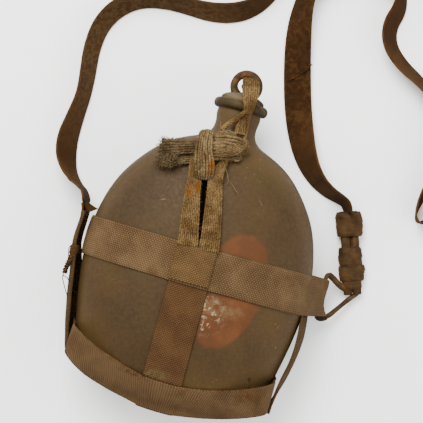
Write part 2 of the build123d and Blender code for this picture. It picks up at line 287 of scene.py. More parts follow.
def webbing(name, dark, light, pitch, column, basket=True, stain=None, wear=None, width=WEB, dirt=()):
    """Woven cotton: raised picks in rows across the strip, in quincunx if it is a basket weave.

    Sizes are in millimetres. A stain is blotchy and wear lies along the edges; each bit of dirt is a
    place, its radii and a tint.
    """
    paint = Paint(name, 0.92)
    along, across = paint.uv()
    height = weave(paint, along, across, pitch * MM, column * MM, basket)
    fibre = paint.noise(2400, 5, 0.7)
    patchy = paint.patches((45, 5, 0.6), 0.32, 0.68)
    # the weave's height also sets the colour: painted shade in its hollows, painted highlight on the raised
    # picks
    tone = paint.math("MULTIPLY_ADD", patchy, 0.26, paint.times(height, 0.4))
    tone = paint.math("ADD", tone, paint.math("MULTIPLY_ADD", fibre, 0.5, -0.06))
    paint.base(paint.step(tone, 0.0, 1.0), dark, light)
    if stain:
        paint.cover(paint.patches((36, 6, 0.65), 0.56, 0.7, 0.0, 0.45), stain)
    if wear:
        edge = paint.math("ABSOLUTE", paint.math("DIVIDE", across, width / 2))
        paint.cover(paint.times(paint.step(edge, 0.8, 1.0), paint.patches((170, 5), 0.35, 0.6)), wear, 0.7)
    for centre, radii, tint in dirt:
        amount = paint.spot(centre, radii, 1.3, 0.4)
        paint.cover(paint.times(amount, paint.patches((280, 5, 0.65), 0.38, 0.6, 0.0, 0.8)), tint)
    paint.set("Specular IOR Level", 0.05)
    paint.bump(paint.math("ADD", height, paint.times(fibre, 0.7)), 0.0005)
    return paint.finish()


def yarn_material(name, dark, light, rust=()):
    """Soft spun yarn, dirty in patches, with rust stains at given places and painted shade in the hollows
    between its fibres.
    """
    paint = Paint(name, 0.95)
    fibre = paint.noise(2600, 4, 0.7)
    patchy = paint.patches((70, 6, 0.65), 0.3, 0.7)
    tone = paint.math("ADD", paint.times(patchy, 0.6), paint.times(fibre, 0.5))
    paint.base(paint.step(tone, 0.1, 0.95), dark, light)
    # painted shade: specks of darkened yarn colour for the hollows between the fibres
    hollow = tuple(0.45 * c for c in srgb(*dark)[:3]) + (1.0,)
    paint.colour = paint.mix(paint.patches((950, 3, 0.6), 0.5, 0.6, 0.0, 0.62), paint.colour, hollow)
    for centre, radii in rust:
        amount = paint.spot(centre, radii, 1.25, 0.35)
        paint.cover(paint.times(amount, paint.patches((330,), 0.36, 0.58)), (160, 96, 36), 0.85)
    paint.set("Specular IOR Level", 0.05)
    paint.bump(fibre, 0.00035)
    return paint.finish()


def hide_material(name, dark, light):
    """Strap cloth gone smooth and shiny with handling, with fine creases."""
    paint = Paint(name)
    crease = paint.noise(300, 5, 0.6)
    tone = paint.math("ADD", paint.times(paint.patches((85, 5), 0.3, 0.7), 0.7), paint.times(crease, 0.4))
    paint.base(paint.step(tone, 0.15, 0.9), dark, light)
    paint.set("Roughness", paint.step(crease, 0.3, 0.7, 0.56, 0.82))
    paint.set("Specular IOR Level", 0.12)
    paint.bump(paint.math("ADD", crease, paint.times(paint.noise(1600, 3), 0.35)), 0.0005)
    return paint.finish()


def floor_material():
    paint = Paint("pale_floor", 0.9)
    paint.colour = paint.mix(paint.noise(40, 3), (0.93, 0.93, 0.93, 1), (0.95, 0.95, 0.95, 1))
    return paint.finish()


# --- Mesh helpers ------------------------------------------------------------

def mesh_object(name, vertices, faces, material, uvs=None, smooth=True):
    """An object from points and faces; uvs has one pair for each vertex."""
    mesh = bpy.data.meshes.new(name)
    mesh.from_pydata([tuple(v) for v in vertices], [], faces)
    if uvs:
        layer = mesh.uv_layers.new(name="cloth")
        for loop in mesh.loops:
            layer.data[loop.index].uv = uvs[loop.vertex_index]
    mesh.polygons.foreach_set("use_smooth", [smooth] * len(mesh.polygons))
    mesh.materials.append(material)
    obj = bpy.data.objects.new(name, mesh)
    bpy.context.collection.objects.link(obj)
    return obj


def finish_piece(obj, body, nodes=()):
    """The piece rides on a body and stands for CAD nodes."""
    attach(obj, body)
    if nodes:
        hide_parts(*nodes)


def surface_tree(mesh):
    return BVHTree.FromPolygons([v.co for v in mesh.vertices], [p.vertices for p in mesh.polygons])


SKIN = surface_tree(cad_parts["flask_shell"].data)


def outside(inner, direction, gap):
    """The point a gap outside the flask, looking from an inner point in a direction."""
    far = 0.3
    direction = direction.normalized()
    hit = SKIN.ray_cast(inner + direction * far, -direction)[0]
    return hit + direction * gap


def front_of(x, y, gap):
    """The point a gap above the flask's front."""
    return outside(Vector((x, y, AXIS_Z)), UP, gap)


def smooth_rows(rows, times, closed=False):
    """Evens out a grid of points along its length."""
    for _ in range(times):
        count = len(rows)
        fresh = []
        for i, row in enumerate(rows):
            if not closed and i in (0, count - 1):
                fresh.append(row)
                continue
            before, after = rows[i - 1], rows[(i + 1) % count]
            fresh.append([(a + 2 * p + b) / 4 for a, p, b in zip(before, row, after)])
        rows = fresh
    return rows


def way_along(points, i):
    """The direction of a line at one of its points."""
    return (points[min(i + 1, len(points) - 1)] - points[max(i - 1, 0)]).normalized()


def above_floor(point, height):
    return Vector((point.x, point.y, max(point.z, height)))


def outward(rows, closed):
    """At each point of a grid, the direction out of the cloth."""
    count = len(rows)
    directions = []
    for i, row in enumerate(rows):
        before = rows[i - 1] if closed or i else row
        after = rows[(i + 1) % count] if closed or i < count - 1 else row
        ways = [(b - a).normalized() for a, b in zip(before, after)]
        directions.append([way.cross(way_along(row, j)).normalized() for j, way in enumerate(ways)])
    return directions


def ribbon_ring(row, directions, along, thickness, ripple):
    """The outline of a strip at one row, and its cloth coordinates."""
    across = [0.0]
    for a, b in zip(row, row[1:]):
        across.append(across[-1] + (b - a).length)
    half = across[-1] / 2
    above, below, uvs = [], [], []
    for point, out, place in zip(row, directions, across):
        beyond = max(0.0, (abs(place - half) / half - 0.9) / 0.1)
        swell = thickness / 2 * math.sqrt(max(0.0, 1 - beyond ** 2))
        wave = ripple * noise.noise(point * 55)
        above.append(point + out * (wave + swell))
        below.append(point + out * (wave - swell))
        uvs.append((along, place - half))
    return above + below[-2:0:-1], uvs + uvs[-2:0:-1]


def ribbon(name, rows, thickness, material, closed=False, ripple=0.0):
    """A strip of cloth with rounded edges through rows of points, one row for each step along it."""
    middle = len(rows[0]) // 2
    vertices, uvs = [], []
    along = 0.0
    for i, (row, directions) in enumerate(zip(rows, outward(rows, closed))):
        if i:
            along += (row[middle] - rows[i - 1][middle]).length
        ring, places = ribbon_ring(row, directions, along, thickness, ripple)
        vertices += ring
        uvs += places
    size = len(vertices) // len(rows)
    faces = []
    for i in range(len(rows) if closed else len(rows) - 1):
        a, b = i * size, ((i + 1) % len(rows)) * size
        faces += [(a + k, a + (k + 1) % size, b + (k + 1) % size, b + k) for k in range(size)]
    if not closed:
        last = (len(rows) - 1) * size
        faces += [tuple(range(size - 1, -1, -1)), tuple(range(last, last + size))]
    return mesh_object(name, vertices, faces, material, uvs)


def wrap_faces(rings, sides):
    """The faces of a tube whose last ring joins its first."""
    faces = []
    for i in range(rings):
        a, b = i * sides, (i + 1) % rings * sides
        faces += [(a + k, b + k, b + (k + 1) % sides, a + (k + 1) % sides) for k in range(sides)]
    return faces


def add_tube(vertices, faces, points, radii, sides):
    """Adds a round strand through points, with a radius at each."""
    first = len(vertices)
    last = first + (len(points) - 1) * sides
    out = way_along(points, 0).orthogonal().normalized()
    for i, point in enumerate(points):
        along = way_along(points, i)
        out = (out - along * out.dot(along)).normalized()
        side = along.cross(out)
        for k in range(sides):
            angle = math.tau * k / sides
            vertices.append(point + (out * math.cos(angle) + side * math.sin(angle)) * radii[i])
    for a in range(first, last, sides):
        faces += [(a + k, a + (k + 1) % sides, a + sides + (k + 1) % sides, a + sides + k)
                  for k in range(sides)]
    faces += [tuple(range(first + sides - 1, first - 1, -1)), tuple(range(last, last + sides))]


def strands(name, lines, material, sides):
    """One mesh of many strands; each line is (points, radii)."""
    vertices, faces = [], []
    for points, radii in lines:
        add_tube(vertices, faces, points, radii, sides)
    return mesh_object(name, vertices, faces, material)


def spline(points, steps):
    """Points along a smooth curve through the given ones."""
    ends = [2 * points[0] - points[1]] + list(points) + [2 * points[-1] - points[-2]]
    result = []
    for a, b, c, d in zip(ends, ends[1:], ends[2:], ends[3:]):
        for i in range(steps):
            t = i / steps
            result.append(0.5 * (2 * b + (c - a) * t + (2 * a - 5 * b + 4 * c - d) * t ** 2
                                 + (3 * b - a - 3 * c + d) * t ** 3))
    return result + [points[-1]]


def curve(places, steps):
    """A smooth curve through places in millimetres."""
    return spline([at(*p) for p in places], steps)


def even(points, radius):
    """A strand of one radius, in millimetres."""
    return points, [radius * MM] * len(points)


def hair(start, direction, length, curl, radius, steps):
    """A loose fibre that wanders off from a point."""
    points = [start.copy()]
    heading = direction.normalized()
    for _ in range(steps):
        jolt = Vector((RNG.gauss(0, 1), RNG.gauss(0, 1), RNG.gauss(0, 1)))
        heading = (heading + jolt * curl).normalized()
        points.append(points[-1] + heading * (length / steps))
    return points, [radius * (1 - 0.6 * i / steps) for i in range(steps + 1)]


def edge_fuzz(name, rows, number, edge, material):
    """Loose fibres along one edge of a strip, or along both edges if edge is None."""
    lines = []
    for _ in range(number):
        row = rows[RNG.randrange(2, len(rows) - 2)]
        end = RNG.choice((0, -1)) if edge is None else edge
        outward = (row[end] - row[len(row) // 2]).normalized()
        points, radii = hair(row[end] - outward * 0.3 * MM, outward + Vector((0, 0, 0.2)),
                             RNG.uniform(0.5, 1.9) * MM, 0.6, RNG.uniform(0.06, 0.14) * MM, 4)
        lines.append(([above_floor(p, 0.15 * MM) for p in points], radii))
    return strands(name, lines, material, 3)


# --- Camera, light and floor -----------------------------------------------

def set_camera():
    data = bpy.data.cameras.new("camera")
    data.angle = 0.3409                  # radians
    data.clip_start = 0.01
    camera = bpy.data.objects.new("camera", data)
    camera.location = at(0.7, 37.75, 900)
    camera.rotation_euler = (0, 0, math.radians(15.2))
    bpy.context.collection.objects.link(camera)
    bpy.context.scene.camera = camera


def set_light():
    """A large soft light from the upper left, with fill from all round."""
    target = Vector((0, 0.02, 0))
    for name, place, power in (("key", (-0.45, 0.7, 1.15), 46.0), ("fill", (0.9, 0.0, 0.8), 6.0)):
        data = bpy.data.lights.new(name, "AREA")
        data.size = 0.8
        data.energy = power
        light = bpy.data.objects.new(name, data)
        light.location = place
        light.rotation_euler = (target - light.location).to_track_quat("-Z", "Y").to_euler()
        bpy.context.collection.objects.link(light)
    world = bpy.data.worlds.new("studio")
    world.use_nodes = True
    sky = world.node_tree.nodes["Background"].inputs
    sky[0].default_value = (1.0, 0.99, 0.97, 1)
    sky[1].default_value = 1.6
    bpy.context.scene.world = world


def lay_floor():
    size = 3.0
    corners = [Vector((x, y, 0)) for x, y in ((-size, -size), (size, -size), (size, size), (-size, size))]
    mesh_object("floor", corners, [(0, 1, 2, 3)], floor_material(), smooth=False)


# --- Flask and stopper -------------------------------------------------------

def refinish(material, *nodes):
    """Gives CAD surfaces that stay in the visual their material."""
    for name in nodes:
        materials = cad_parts[name].data.materials
        materials.clear()
        materials.append(material)


def lathe(name, profile, material, sides, dent):
    """Turns (radius, y) points, in millimetres, about the neck's axis; dent roughens the casting."""
    vertices = []
    for radius, y in profile:
        for k in range(sides):
            angle = math.tau * k / sides
            point = AXIS + at(radius * math.cos(angle), y, radius * math.sin(angle))
            vertices.append(point + EVENLY * (dent * noise.noise(point * 160)))
    return mesh_object(name, vertices, wrap_faces(len(profile), sides), material)


def make_cap(metal):
    """A crown tier on a rolled rim, with a groove under each."""
    profile = [(3.2, 112.5), (16.6, 112.4), (16.7, 110.9), (17.3, 110.2), (18.3, 110.7), (19.0, 112.0),
               (19.2, 113.5), (18.9, 115.0), (18.2, 116.1), (17.2, 116.7), (16.2, 117.0), (15.3, 117.3),
               (15.0, 117.7), (15.2, 118.2), (14.8, 119.1), (13.7, 120.2), (11.6, 121.3), (9.0, 122.0),
               (6.0, 122.5), (3.2, 122.7)]
    cap = lathe("cap", profile, metal, 96, 0.3 * MM)
    finish_piece(cap, "stopper", ["stopper_cap"])


def make_eye(metal):
    """A cast loop, thicker where it joins the cap, with flat cheeks."""
    vertices = []
    around, sides = 96, 18
    for i in range(around):
        turn = math.tau * i / around
        low = max(0.0, -math.sin(turn))
        wire = 2.75 + 0.7 * low ** 2 + 0.2 * noise.noise(Vector((math.cos(turn), math.sin(turn), 3)) * 1.7)
        out = Vector((math.cos(turn), math.sin(turn), 0))
        centre = AXIS / MM + Vector((8.75 * out.x, 128.5 + 8.5 * out.y, 0))
        for k in range(sides):
            angle = math.tau * k / sides
            point = centre + (out * math.cos(angle) + Vector((0, 0, 1.08 * math.sin(angle)))) * wire
            vertices.append((point + EVENLY * 0.16 * noise.noise(point * 0.35)) * MM)
    finish_piece(mesh_object("eye", vertices, wrap_faces(around, sides), metal), "stopper")
    profile = [(0.01, 119.0), (7.5, 121.0), (6.4, 122.6), (4.2, 123.2), (0.01, 123.4)]
    finish_piece(lathe("eye_boss", profile, metal, 48, 0.2 * MM), "stopper")


# --- Harness -----------------------------------------------------------------
STRAP_X = -1.6 * MM                      # the middle of the vertical strap
GAP = 0.9 * MM                           # from the flask to the middle of the cloth on it
OVER_STRAP = 2.45 * MM                   # the same where the band crosses the vertical strap


def smooth(t):
    """A soft step from 0 to 1."""
    t = min(1.0, max(0.0, t))
    return t * t * (3 - 2 * t)


def lift_over_strap(x, high):
    """A gap to the flask that rises where cloth crosses the vertical strap."""
    low, soft = 1.0 * MM, 2.5 * MM
    edge = (abs(x - STRAP_X) - HALF_WEB) / soft
    return low + (high - low) * smooth(0.5 - edge / 2)


def belt_row(angle, y_shift):
    """Points across the belt where it lies on the flask."""
    direction = Vector((math.cos(angle), 0, math.sin(angle)))
    row = []
    right = max(0.0, math.cos(angle)) ** 2
    for s in ACROSS:
        y = (HALF_WEB + 0.6 * MM * right) * s + y_shift - 1.6 * MM * right
        inner = Vector((AXIS_X, y, AXIS_Z))
        gap = GAP
        if angle < math.pi:
            gap = lift_over_strap(outside(inner, direction, 0).x, 2.5 * MM)
        row.append(outside(inner, direction, gap))
    return row


def tip_row(angle):
    """Points across the belt's drawn-out end, which holds the ring."""
    x, z = 92 + 3.1 * math.cos(angle), 16 + 3.1 * math.sin(angle)
    return [at(x + 2.6 * s * s - 2.4 * s ** 3, 12.9 * s - 0.6, z) for s in ACROSS]


def bridge(row_a, row_b, steps):
    """Rows that join two others."""
    return [[a.lerp(b, (i + 1) / (steps + 1)) for a, b in zip(row_a, row_b)] for i in range(steps)]


def make_belt(cloth):
    """Round the flask and out on the right to a drawn-out tip."""
    angles = [math.radians(8 + 291 * i / 170) for i in range(171)]
    around = [belt_row(a, 0.35 * MM * math.sin(3 * a)) for a in angles]
    tip = [tip_row(math.radians(-80 + 15 * i)) for i in range(8)]
    rows = tip + bridge(tip[-1], around[0], 9) + around + bridge(around[-1], tip[0], 24)
    rows = smooth_rows(rows, 3, closed=True)
    for row in rows:
        row.reverse()
    belt = ribbon("belt_web", rows, 1.55 * MM, cloth, closed=True, ripple=0.35 * MM)
    finish_piece(belt, "flask", ["belt"])


def make_vertical_strap(cloth):
    """Straight down the front from under the belt, then round the bottom of the flask."""
    steps, top, bend = 60, 13.2 * MM, -60 * MM
    columns = [STRAP_X + HALF_WEB * s for s in ACROSS]
    rows = [[front_of(x, top - 1.22 * MM * i, GAP) for x in columns] for i in range(steps)]
    for i in range(1, steps):
        angle = math.radians(90 + 3 * i)
        direction = Vector((0, math.cos(angle), math.sin(angle)))
        rows.append([outside(Vector((x, bend, AXIS_Z)), direction, GAP) for x in columns])
    rows = smooth_rows(rows, 2)
    strap = ribbon("vertical_web", rows, WEB_THICK, cloth, ripple=0.3 * MM)
    finish_piece(strap, "flask", ["vertical_strap"])


def make_back_strap(cloth):
    """Along the back of the flask, pressed against the floor."""
    rows = []
    for i in range(90):
        places = [Vector((STRAP_X + HALF_WEB * s, (31.5 - 1.25 * i) * MM, AXIS_Z)) for s in ACROSS]
        rows.append([above_floor(outside(p, -UP, 2.5 * MM), 0.8 * MM) for p in places])
    strap = ribbon("back_web", rows, WEB_THICK, cloth)
    finish_piece(strap, "flask", ["back_strap"])


def band_edges(x):
    """Where the band's upper and lower edges lie, at a distance across the flask."""
    slant = 0.032 * x
    upper = 58.4 * MM - math.sqrt((140.0 * MM) ** 2 - x * x) - slant
    lower = 56.6 * MM - math.sqrt((160.0 * MM) ** 2 - x * x) - slant + 0.02 * max(0.0, x)
    lower += 3.0 * MM * max(0.0, (-x / MM - 52) / 20) ** 2
    return upper, lower


def stand_out(point, angle):
    """Draws the band out to a straight edge at the flask's sides, where the side straps pull it."""
    edge = 0.081 * point.y - 64.9 * MM if math.cos(angle) < 0 else 73.4 * MM
    if abs(point.x) < abs(edge):
        point.x += (edge - point.x) * smooth((abs(math.cos(angle)) - 0.7) / 0.28)
    return point


def band_point(angle, s):
    """A point of the band, found by trial, as its edges depend on how far across the flask it is."""
    lowest = -98 * MM                    # the flask ends just below this
    direction = Vector((math.cos(angle), 0, math.sin(angle)))
    point = AXIS + 75 * MM * direction
    x = point.x
    for _ in range(6):
        upper, lower = band_edges(x)
        y = (upper + lower) / 2 + (upper - lower) / 2 * s
        inner = Vector((0, max(y, lowest), AXIS_Z))
        point = outside(inner, direction, lift_over_strap(x, OVER_STRAP))
        point.y += min(0.0, y - lowest)
        point = stand_out(point, angle)
        x = (x + point.x) / 2
    return point


def make_band(cloth, fuzz):
    """The curved band round the flask's lower part, with fuzz along its upper edge."""
    steps = 220
    rows = [[band_point(math.tau * i / steps, s) for s in reversed(ACROSS)] for i in range(steps)]
    rows = smooth_rows(rows, 3, closed=True)
    band = ribbon("band_web", rows, WEB_THICK, cloth, closed=True, ripple=0.7 * MM)
    finish_piece(edge_fuzz("band_fuzz", rows, 1500, 0, fuzz), "flask")
    finish_piece(band, "flask", ["bottom_band"])


def make_side_strap(name, node, upper, lower, bulge, cloth):
    """A strap on edge beside the flask, bulging outwards between its upper and its lower edge."""
    rows = []
    tops = curve([(x, y, 51) for x, y in upper], 14)
    feet = curve([(x, y, 25) for x, y in lower], 14)
    for i, (top, foot) in enumerate(zip(tops, feet)):
        swell = 0.3 + 0.7 * math.sin(math.pi * i / (len(tops) - 1)) ** 0.6
        bow = Vector((math.copysign(bulge * swell, foot.x), 0, 0))
        rows.append([foot.lerp(top, (s + 1) / 2) + bow * (1 - s * s) for s in ACROSS])
    strap = ribbon(name, rows, 2.0 * MM, cloth, ripple=0.4 * MM)
    finish_piece(strap, "flask", [node])


# --- Shoulder strap ----------------------------------------------------------
# Along it, in millimetres: x, y and tilt in degrees, where 90 stands on edge.
ROUTE = [
    (-86.8, 17.5, 88), (-88.2, 24.0, 86), (-93.0, 29.0, 84), (-100.0, 33.0, 80), (-107.0, 39.5, 66),
    (-112.0, 49.0, 49), (-114.4, 62.0, 46), (-112.8, 78.0, 58), (-110.8, 95.0, 65), (-112.2, 112.0, 61),
    (-114.2, 129.0, 60), (-112.3, 147.5, 58), (-104.0, 162.6, 56), (-90.0, 172.8, 60), (-72.2, 176.4, 64),
    (-54.2, 176.8, 62), (-36.0, 177.0, 54), (-19.0, 181.5, 52), (-6.0, 190.5, 58), (2.5, 204.0, 63),
    (9.0, 221.0, 66), (23.0, 237.0, 68), (44.0, 247.0, 66), (69.0, 250.0, 64), (95.0, 244.0, 64),
    (118.0, 229.0, 64), (136.0, 207.0, 64), (149.0, 182.0, 64), (158.0, 155.0, 66), (162.0, 129.0, 66),
    (161.5, 107.0, 68), (158.5, 90.0, 72), (155.4, 78.0, 80), (153.0, 71.0, 88), (147.0, 68.6, 88),
    (143.6, 74.8, 80), (145.0, 87.0, 70), (148.5, 104.0, 68), (150.5, 123.0, 68), (147.0, 142.0, 68),
    (137.0, 158.0, 66), (122.0, 168.5, 60), (106.0, 176.5, 54), (93.5, 188.0, 51), (90.0, 202.0, 51),
    (94.5, 216.0, 54), (91.5, 230.0, 64), (74.0, 237.5, 70), (52.0, 236.0, 68), (35.0, 227.5, 62),
    (26.5, 212.0, 54), (26.0, 193.0, 42), (29.5, 172.0, 20), (35.0, 150.0, 12), (41.5, 128.0, 10),
    (49.0, 108.5, 24), (57.5, 92.0, 42), (67.5, 80.5, 57), (78.3, 73.8, 66), (87.8, 71.0, 72),
    (94.4, 68.6, 76), (96.6, 62.2, 80),
]
LIFTS = [25.4, 21.0, 14.0, 7.0, 2.5, 0.6]   # of the lower edge above the floor at the first points
ON_FLOOR = 0.1                           # and at all others
STRAP_HALF = 10 * MM
LAST_STRETCH = 40                        # rows of the strap's last stretch, a piece of its own
LOOSE_THREAD = [(28.6, 143.6, 2.6), (31.5, 146.2, 4.0), (35.5, 150.0, 4.6), (39.5, 154.0, 6.8),
                (43.2, 160.0, 8.6)]


def along_nurbs(points):
    """Points along the smooth curve that has these control points."""
    data = bpy.data.curves.new("route", "CURVE")
    data.dimensions = "3D"
    line = data.splines.new("NURBS")
    line.points.add(len(points) - 1)
    for point, place in zip(line.points, points):
        point.co = (*place, 1)
    line.order_u = 3
    line.use_endpoint_u = True
    line.resolution_u = 12
    obj = bpy.data.objects.new("route", data)
    mesh = bpy.data.meshes.new_from_object(obj)
    result = [v.co.copy() for v in mesh.vertices]
    bpy.data.objects.remove(obj)
    return result


def strap_rows():
    """The strap's middle line, and rows across it that turn with its tilt."""
    half_width, half_thickness = STRAP_HALF / MM, WEB_THICK / 2 / MM
    controls = []
    for i, (x, y, tilt) in enumerate(ROUTE):
        lift = LIFTS[i] if i < len(LIFTS) else ON_FLOOR
        lean = math.radians(tilt)
        height = lift + half_width * math.sin(lean) + half_thickness * math.cos(lean)
        controls.append((at(x, y, height), Vector((lean, 0, 0))))
    path = along_nurbs([c[0] for c in controls])
    leans = [v.x for v in along_nurbs([c[1] for c in controls])]
    rows = []
    for i, point in enumerate(path):
        along = way_along(path, i)
        side = UP.cross(along).normalized()
        across = side * math.cos(leans[i]) + along.cross(side) * math.sin(leans[i])
        hollow = along.cross(across) * (0.5 * MM * math.sin(i * 0.021 + 1))
        rows.append([point + across * (STRAP_HALF * s) + hollow * (1 - s * s) for s in ACROSS])
    return path, rows


def make_shoulder_strap(cloth, fuzz_material):
    """The long strap; its last stretch is a piece of its own."""
    path, rows = strap_rows()
    cut = len(rows) - LAST_STRETCH
    strap = ribbon("shoulder_web", rows[:cut + 1], WEB_THICK, cloth)
    last = ribbon("shoulder_web_end", rows[cut:], WEB_THICK, cloth)
    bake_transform(last)
    fuzz = edge_fuzz("shoulder_fuzz", rows, 900, None, fuzz_material)
    twist = curve(LOOSE_THREAD, 10)
    thickness = [(0.6 + 0.3 * math.sin(i * 1.1)) * MM for i in range(len(twist))]
    thread = strands("loose_thread", [(twist, thickness)], fuzz_material, 8)
    finish_piece(strap, "flask", ["shoulder_strap"])
    finish_piece(fuzz, "flask")
    finish_piece(thread, "flask")


# --- Tapes and knot ----------------------------------------------------------

def stations_along(controls, steps, side=None):
    """Stations along a tape: place, direction across, direction out and half width.

    Each control is x, y, z, half width and roll in degrees; side fixes the direction across.
    """
    line = spline([Vector(c) for c in controls], steps)
    points = [Vector(v[:3]) * MM for v in line]
    stations = []
    for i, value in enumerate(line):
        along = way_along(points, i)
        across = Vector(side) if side else UP.cross(along)
        across = (across - along * across.dot(along)).normalized()
        across = Matrix.Rotation(math.radians(value[4]), 3, along) @ across
        stations.append((points[i], across, along.cross(across), value[3] * MM))
    return stations


def fray(stations, number, length, radius=0.07 * MM, sides=(-1, 1)):
    """Loose fibres along a tape's edges."""
    lines = []
    for _ in range(number):
        point, across, out, half = stations[RNG.randrange(len(stations))]
        edge = RNG.choice(sides)
        start = point + across * (half * edge * RNG.uniform(0.8, 1.0)) + out * 0.5 * MM
        way = across * edge + out * RNG.uniform(0, 0.8) + across.cross(out) * RNG.uniform(-1, 1)
        lines.append(hair(start, way, RNG.uniform(0.3, 1.0) * length, 0.5, radius, 5))
    return lines


def warp_yarn(stations, j, count, bulge, loose):
    """One of the fat yarns along a tape."""
    s = -1 + (2 * j + 1) / count
    points, radii = [], []
    for i, (p, a, o, h) in enumerate(stations):
        here = p * 130 + Vector((j * 3.7, 0, j * 1.3))
        sway = loose * 0.45 * noise.noise(here)
        lift = 0.28 * MM + bulge * (1 - s * s) + loose * 0.35 * MM * noise.noise(here + Vector((9, 4, 2)))
        points.append(p + a * (h * (s + sway / count)) + o * lift)
        knob = 1 + 0.16 * math.sin(i * 2.1 + j * math.pi) + 0.25 * noise.noise(here * 2.3)
        radii.append(h / count * 1.08 * knob)
    return points, radii


def weft_yarn(station, count, bulge, phase):
    """A thin yarn across a tape, over and under the fat ones."""
    p, a, o, h = station
    points = []
    for k in range(count * 3 + 1):
        s = -1 + 2 * k / (count * 3)
        over = 0.5 * math.sin(math.pi * count * (s + 1) / 2 + phase) + 0.5
        lift = 0.1 * MM + bulge * (1 - s * s) + over * (h / count + 0.35 * MM)
        points.append(p + a * (h * s) + o * lift)
    return points, [0.21 * MM] * len(points)


def yarn_tape(name, stations, count, cloths, hairs, bulge=0.3 * MM, weft=1.25 * MM, loose=0.5):
    """A soft old tape: fat yarns along it and thin ones across, on a ground that closes it; the ground's
    dark colour is painted shade between the yarns.
    """
    ground, yarn = cloths
    rows = [[p + a * (h * 0.95 * s) + o * (bulge * (1 - s * s)) for s in ACROSS] for p, a, o, h in stations]
    base = ribbon(name + "_ground", rows, 0.9 * MM, ground)
    lines = [warp_yarn(stations, j, count, bulge, loose) for j in range(count)]
    travelled, following = 0.0, weft
    for before, station in zip(stations, stations[1:]):
        travelled += (station[0] - before[0]).length
        if travelled < following:
            continue
        following += weft * RNG.uniform(0.85, 1.2)
        lines.append(weft_yarn(station, count, bulge, RNG.choice((0, math.pi))))
    lines += fray(stations, hairs, 2.2 * MM)
    lines += fray(stations, hairs // 2, 2.6 * MM, 0.09 * MM, (-0.7, -0.3, 0.1, 0.5))
    return base, strands(name + "_yarns", lines, yarn, 5)


def finish_tape(pieces, *nodes):
    """A tape's two pieces ride on the flask; its ground stands for CAD nodes."""
    finish_piece(pieces[0], "flask", nodes)
    finish_piece(pieces[1], "flask")


def on_front(controls):
    """Gives controls their height: the third value counts up from the flask's front."""
    return [(x, y, front_of(x * MM, y * MM, 0).z / MM + up, half, roll) for x, y, up, half, roll in controls]


def make_tapes(cloths, patch_cloth):
    """The two tapes that run up from the belt, and their joined end sewn to it."""
    left = on_front([(-8.9, 11.4, 4.3, 6.9, 0), (-9.3, 15.4, 3.2, 6.8, 0), (-10.9, 24, 1.5, 6.4, 0),
                     (-12.8, 35, 1.5, 6.0, 0), (-14.8, 46, 1.5, 5.3, 0), (-15.8, 54, 1.7, 4.9, 0),
                     (-17.6, 60, 2.6, 4.0, 8), (-19.6, 66.5, 4.0, 3.0, 20), (-20.6, 73, 4.6, 2.4, 30)])
    right = on_front([(5.7, 11.4, 4.3, 6.9, 0), (5.3, 15.4, 3.2, 6.8, 0), (4.2, 24, 1.2, 6.5, 0),
                      (2.3, 35, 1.2, 6.1, 0), (0.1, 47, 1.2, 5.5, 0), (-1.8, 56, 1.7, 5.1, 0),
                      (-2.2, 62, 2.8, 4.6, -8), (-0.9, 68, 3.8, 3.4, -16), (0.6, 74, 4.0, 2.6, -24)])
    for side, controls in (("left", left), ("right", right)):
        stations = stations_along(controls, 10)
        finish_tape(yarn_tape(side + "_tape", stations, 10, cloths, 420), "tie_tape_" + side)
    columns = [(-2.1 - 13.9 * s) * MM for s in ACROSS]
    rows = [[front_of(x, (-12.3 + 0.7 * i) * MM, 4.15 * MM) for x in columns] for i in range(36)]
    patch = ribbon("patch_web", smooth_rows(rows, 2), 1.3 * MM, patch_cloth, ripple=0.25 * MM)
    finish_piece(patch, "flask", ["tape_patch"])


def make_bight(cloths):
    """The bight that closes round the knot, with deep ridges along it."""
    controls = [(-15.8, 88.2, 66, 3.6, 0), (-16.2, 88.6, 70.5, 4.2, 0), (-16.3, 86.4, 75.2, 4.8, 0),
                (-16.0, 81, 78.2, 5.3, 0), (-14.6, 74.6, 79.4, 6.0, 0), (-12.4, 67.6, 79.2, 6.9, 0),
                (-10.9, 62, 77.8, 6.6, 0), (-10.3, 59.2, 75.6, 5.2, 0), (-10.6, 59.6, 73.6, 4.4, 0),
                (-11.2, 62.5, 72.6, 4.2, 0)]
    stations = stations_along(controls, 8, (0.978, 0.206, 0))
    finish_tape(yarn_tape("bight", stations, 7, cloths, 160, 1.3 * MM, 1.6 * MM, 1.4), "knot_loop")


def make_tail(cloths):
    """Two layers of tape that end in a frayed tuft."""
    layers = {
        "tail_upper": [(-10, 79, 72.4, 4.6, 0), (-17, 78.2, 73.4, 4.6, 0), (-23, 76.4, 73.8, 4.6, -4),
                       (-30, 74.6, 73.2, 4.9, -6), (-36, 72.6, 71.6, 5.6, -8), (-42, 70.6, 68.8, 6.2, -8)],
        "tail_lower": [(-12, 70.5, 70.6, 4.0, 0), (-18, 70.0, 71.0, 3.6, 6), (-24, 68.2, 70.4, 3.6, 10),
                       (-30, 66.2, 69.6, 3.8, 8), (-35, 64.6, 68.4, 4.2, 0), (-41, 63.6, 66.6, 4.6, 0)],
    }
    for name, controls in layers.items():
        stations = stations_along(controls, 8)
        for piece in yarn_tape(name, stations, 6, cloths, 50, 0.8 * MM, 1.6 * MM, 0.9):
            finish_piece(piece, "flask", ["tie_tail"])
    lines = []
    for _ in range(950):
        t, s = RNG.random(), RNG.uniform(-1, 1)
        x = -31 - 13 * t
        start = at(x, 73.04 + 8.6 * s + 0.12 * x, 81.3 + 0.3 * x + RNG.uniform(-2, 2))
        way = Vector((RNG.uniform(-1.3, 0.5), 0.9 * s + RNG.uniform(-0.8, 0.8), RNG.uniform(-0.4, 1)))
        lines.append(hair(start, way, RNG.uniform(2.5, 6.5) * MM, 0.6, RNG.uniform(0.16, 0.42) * MM, 7))
    finish_piece(strands("tail_tuft", lines, cloths[1], 5), "flask")


